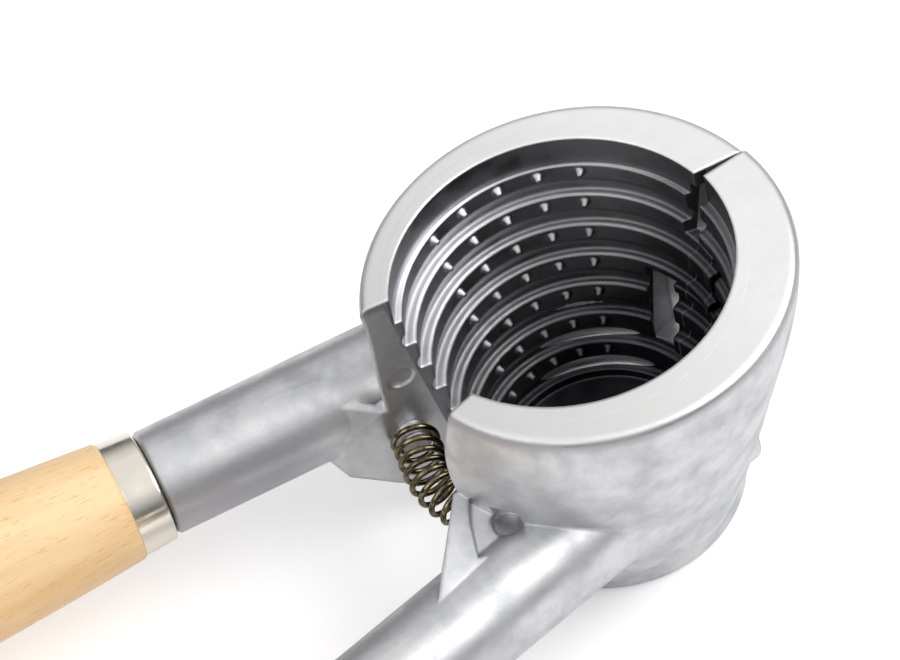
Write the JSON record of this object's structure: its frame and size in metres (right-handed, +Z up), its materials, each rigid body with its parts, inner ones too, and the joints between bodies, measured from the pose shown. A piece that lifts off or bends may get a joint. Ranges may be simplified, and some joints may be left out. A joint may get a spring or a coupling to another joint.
{
  "type": "nut cracker",
  "caption": "Hand-squeezed nut cracker: two hinged half-cone jaws with stepped, studded rings, a bowed return spring and wooden handles behind plated ferrules.",
  "frame": {"origin": "on the base plane of the barrel, under the middle of the mouth", "axes": "+Z up out of the mouth, +X towards the hinge, handles towards -X, left jaw at +Y"},
  "size_m": [0.1754, 0.0872, 0.042],
  "materials": {
    "cast_jaw": "tumbled casting, satin; rim and base machined",
    "pin_steel": "drawn",
    "spring_steel": "dark drawn wire",
    "plated_ferrule": "polished nickel plate",
    "beech": "oiled, fine flecks"
  },
  "bodies": {
    "left_half": {"left_jaw": "cast_jaw", "hinge_pin": "pin_steel", "return_spring": "spring_steel", "left_stud": "pin_steel", "left_ferrule": "plated_ferrule", "left_handle": "beech"},
    "right_half": {"right_jaw": "cast_jaw", "right_stud": "pin_steel", "right_ferrule": "plated_ferrule", "right_handle": "beech"}
  },
  "joints": [
    {"name": "jaw_hinge", "type": "hinge", "parent": "left_half", "child": "right_half", "pos_m": [0.0204, 0.00097, 0], "axis": [0, 0, 1], "range_deg": [-12, 0], "stiffness_Nm_per_rad": 0.4, "springref_deg": 20.05, "deforming": ["return_spring"]}
  ]
}
